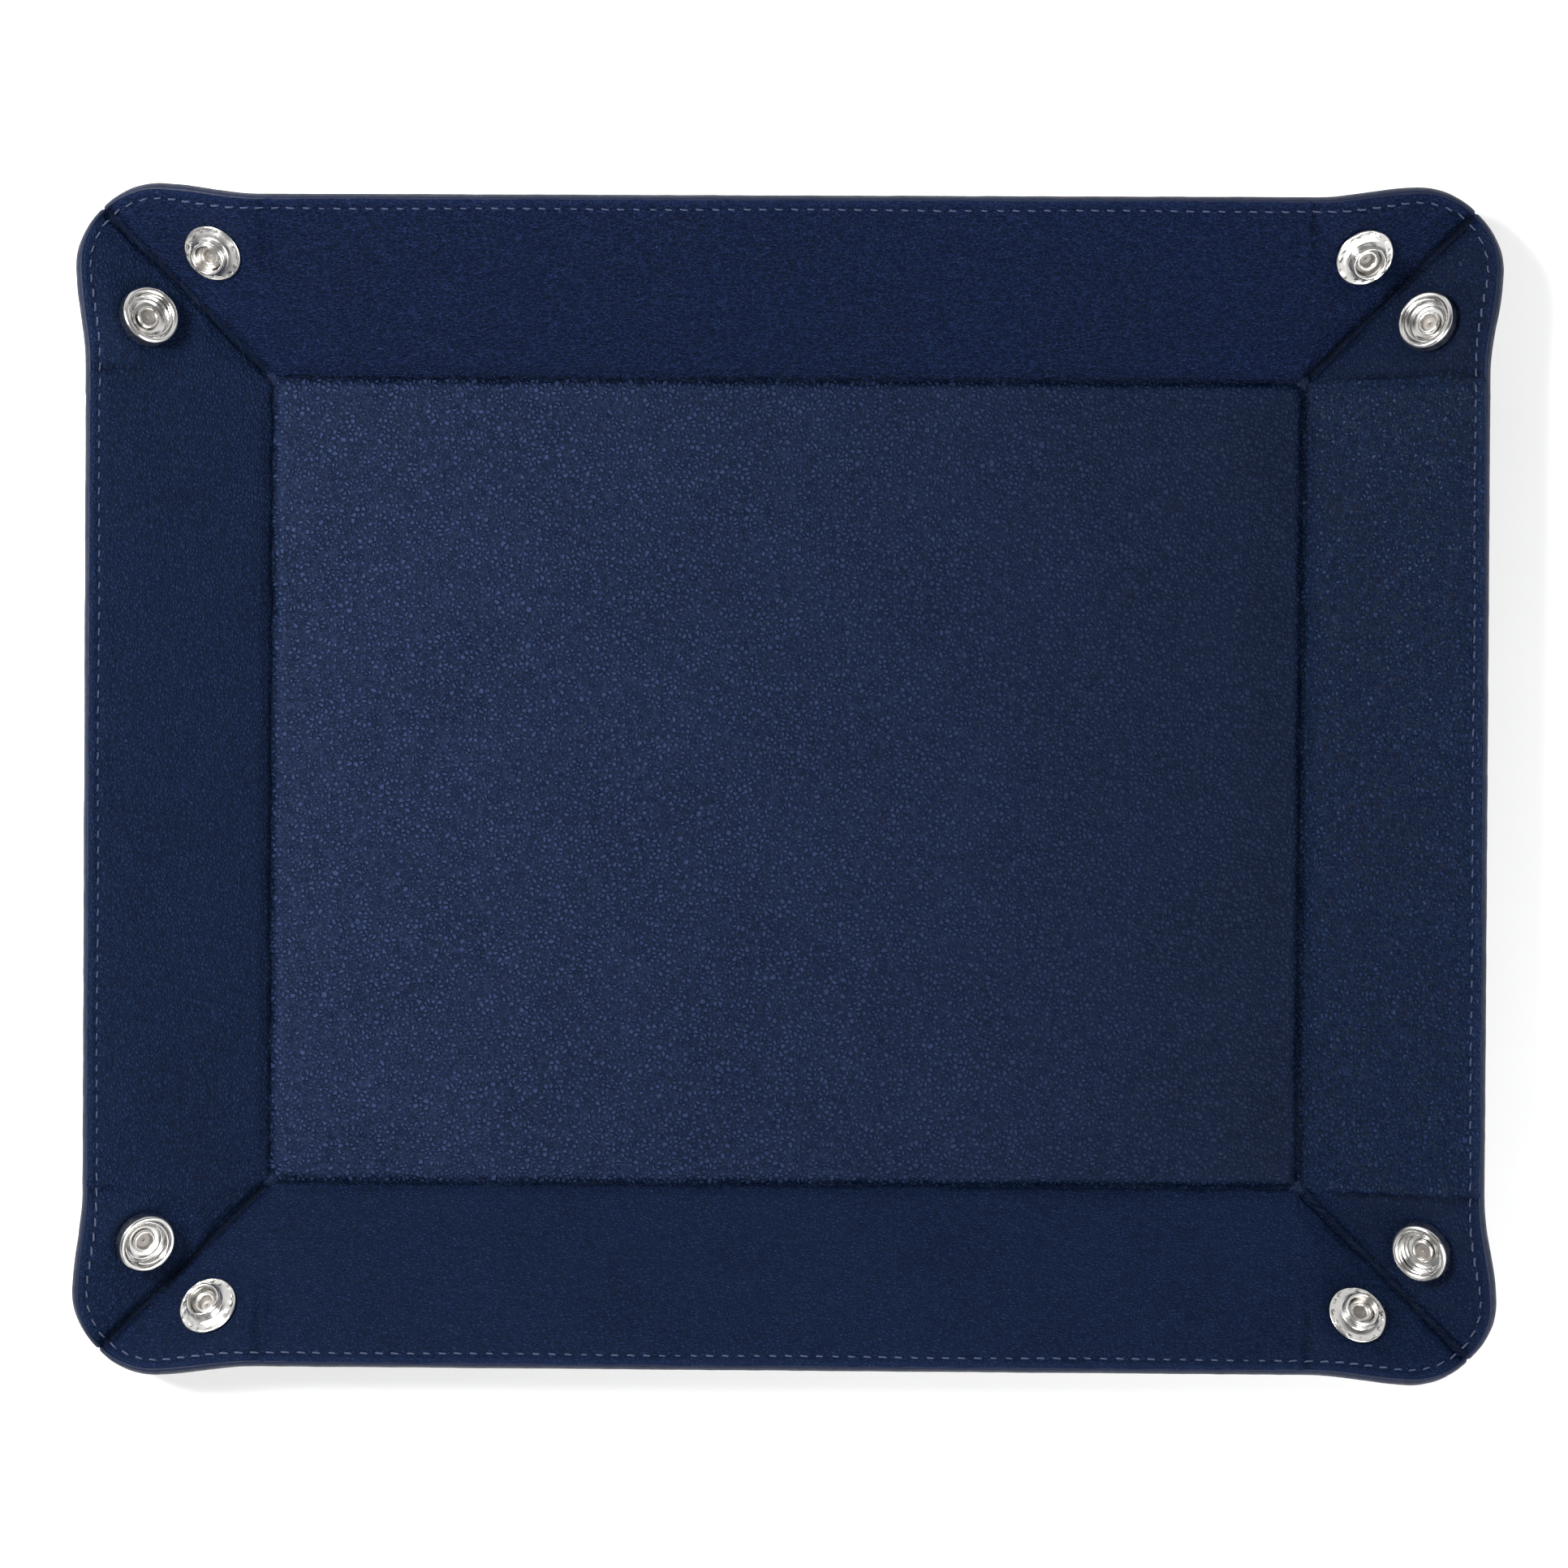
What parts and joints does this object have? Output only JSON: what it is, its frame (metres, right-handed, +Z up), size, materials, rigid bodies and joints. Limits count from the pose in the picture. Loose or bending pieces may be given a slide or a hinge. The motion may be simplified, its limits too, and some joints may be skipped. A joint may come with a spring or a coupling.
{
  "type": "folding dice tray",
  "caption": "Rectangular folding tray of dark blue leather over stiff boards, with four creased walls and folding corner webs that press studs hold shut.",
  "frame": {"origin": "centre of the base's underside, which is the lowest face and lies on the table", "axes": "+X along the tray's long side, +Y to the back wall, +Z up out of the tray"},
  "size_m": [0.2918, 0.2448, 0.0191],
  "materials": {
    "lining_leather": "navy pebbled leather, satin",
    "outer_leather": "navy pebbled leather, satin",
    "board": "bare grey board",
    "nickel": "polished nickel plate",
    "thread": "waxed blue thread"
  },
  "bodies": {
    "base": {"base_lining": "lining_leather", "base_board": "board", "base_outer": "outer_leather"},
    "back_wall": {"back_wall_lining": "lining_leather", "back_wall_board": "board", "back_wall_outer": "outer_leather"},
    "left_wall": {"left_wall_lining": "lining_leather", "left_wall_board": "board", "left_wall_outer": "outer_leather"},
    "front_wall": {"front_wall_lining": "lining_leather", "front_wall_board": "board", "front_wall_outer": "outer_leather"},
    "right_wall": {"right_wall_lining": "lining_leather", "right_wall_board": "board", "right_wall_outer": "outer_leather"},
    "back_left_web": {"back_left_web_lining": "lining_leather", "back_left_web_outer": "outer_leather", "back_left_stud": "nickel", "back_left_stud_eyelet": "nickel"},
    "back_right_web": {"back_right_web_lining": "lining_leather", "back_right_web_outer": "outer_leather", "back_right_stud": "nickel", "back_right_stud_eyelet": "nickel"},
    "left_front_web": {"left_front_web_lining": "lining_leather", "left_front_web_outer": "outer_leather", "left_front_socket": "nickel", "left_front_socket_ring": "nickel", "left_front_socket_cap": "nickel"},
    "left_back_web": {"left_back_web_lining": "lining_leather", "left_back_web_outer": "outer_leather", "left_back_socket": "nickel", "left_back_socket_ring": "nickel", "left_back_socket_cap": "nickel"},
    "front_left_web": {"front_left_web_lining": "lining_leather", "front_left_web_outer": "outer_leather", "front_left_stud": "nickel", "front_left_stud_eyelet": "nickel"},
    "front_right_web": {"front_right_web_lining": "lining_leather", "front_right_web_outer": "outer_leather", "front_right_stud": "nickel", "front_right_stud_eyelet": "nickel"},
    "right_front_web": {"right_front_web_lining": "lining_leather", "right_front_web_outer": "outer_leather", "right_front_socket": "nickel", "right_front_socket_ring": "nickel", "right_front_socket_cap": "nickel"},
    "right_back_web": {"right_back_web_lining": "lining_leather", "right_back_web_outer": "outer_leather", "right_back_socket": "nickel", "right_back_socket_ring": "nickel", "right_back_socket_cap": "nickel"}
  },
  "joints": [
    {"name": "back_wall_fold", "type": "hinge", "parent": "base", "child": "back_wall", "pos_m": [0, 0.0835, 0.00285], "axis": [1, 0, 0], "range_deg": [-18, 54]},
    {"name": "left_wall_fold", "type": "hinge", "parent": "base", "child": "left_wall", "pos_m": [-0.107, 0, 0.00285], "axis": [0, 1, 0], "range_deg": [-18, 54]},
    {"name": "front_wall_fold", "type": "hinge", "parent": "base", "child": "front_wall", "pos_m": [0, -0.0835, 0.00285], "axis": [-1, 0, 0], "range_deg": [-18, 54]},
    {"name": "right_wall_fold", "type": "hinge", "parent": "base", "child": "right_wall", "pos_m": [0.107, 0, 0.00285], "axis": [0, -1, 0], "range_deg": [-18, 54]},
    {"name": "back_left_web_fold", "type": "hinge", "parent": "back_wall", "child": "back_left_web", "pos_m": [-0.107, 0.0835, 0.00285], "axis": [0, -0.9135, -0.4067], "range_deg": [-9.22, 27.56]},
    {"name": "back_right_web_fold", "type": "hinge", "parent": "back_wall", "child": "back_right_web", "pos_m": [0.107, 0.0835, 0.00285], "axis": [0, 0.9135, 0.4067], "range_deg": [-9.22, 27.56]},
    {"name": "left_front_web_fold", "type": "hinge", "parent": "left_wall", "child": "left_front_web", "pos_m": [-0.107, -0.0835, 0.00285], "axis": [0.9135, 0, -0.4067], "range_deg": [-9.22, 27.56]},
    {"name": "left_back_web_fold", "type": "hinge", "parent": "left_wall", "child": "left_back_web", "pos_m": [-0.107, 0.0835, 0.00285], "axis": [-0.9135, 0, 0.4067], "range_deg": [-9.22, 27.56]},
    {"name": "front_left_web_fold", "type": "hinge", "parent": "front_wall", "child": "front_left_web", "pos_m": [-0.107, -0.0835, 0.00285], "axis": [0, -0.9135, 0.4067], "range_deg": [-9.22, 27.56]},
    {"name": "front_right_web_fold", "type": "hinge", "parent": "front_wall", "child": "front_right_web", "pos_m": [0.107, -0.0835, 0.00285], "axis": [0, 0.9135, -0.4067], "range_deg": [-9.22, 27.56]},
    {"name": "right_front_web_fold", "type": "hinge", "parent": "right_wall", "child": "right_front_web", "pos_m": [0.107, -0.0835, 0.00285], "axis": [0.9135, 0, 0.4067], "range_deg": [-9.22, 27.56]},
    {"name": "right_back_web_fold", "type": "hinge", "parent": "right_wall", "child": "right_back_web", "pos_m": [0.107, 0.0835, 0.00285], "axis": [-0.9135, 0, -0.4067], "range_deg": [-9.22, 27.56]}
  ],
  "couplings": [
    {"joint": "left_wall_fold", "follows": "back_wall_fold", "ratio": 1},
    {"joint": "front_wall_fold", "follows": "back_wall_fold", "ratio": 1},
    {"joint": "right_wall_fold", "follows": "back_wall_fold", "ratio": 1},
    {"joint": "back_left_web_fold", "follows": "back_wall_fold", "ratio": 0.50939},
    {"joint": "back_right_web_fold", "follows": "back_wall_fold", "ratio": 0.50939},
    {"joint": "left_front_web_fold", "follows": "back_wall_fold", "ratio": 0.50939},
    {"joint": "left_back_web_fold", "follows": "back_wall_fold", "ratio": 0.50939},
    {"joint": "front_left_web_fold", "follows": "back_wall_fold", "ratio": 0.50939},
    {"joint": "front_right_web_fold", "follows": "back_wall_fold", "ratio": 0.50939},
    {"joint": "right_front_web_fold", "follows": "back_wall_fold", "ratio": 0.50939},
    {"joint": "right_back_web_fold", "follows": "back_wall_fold", "ratio": 0.50939}
  ]
}
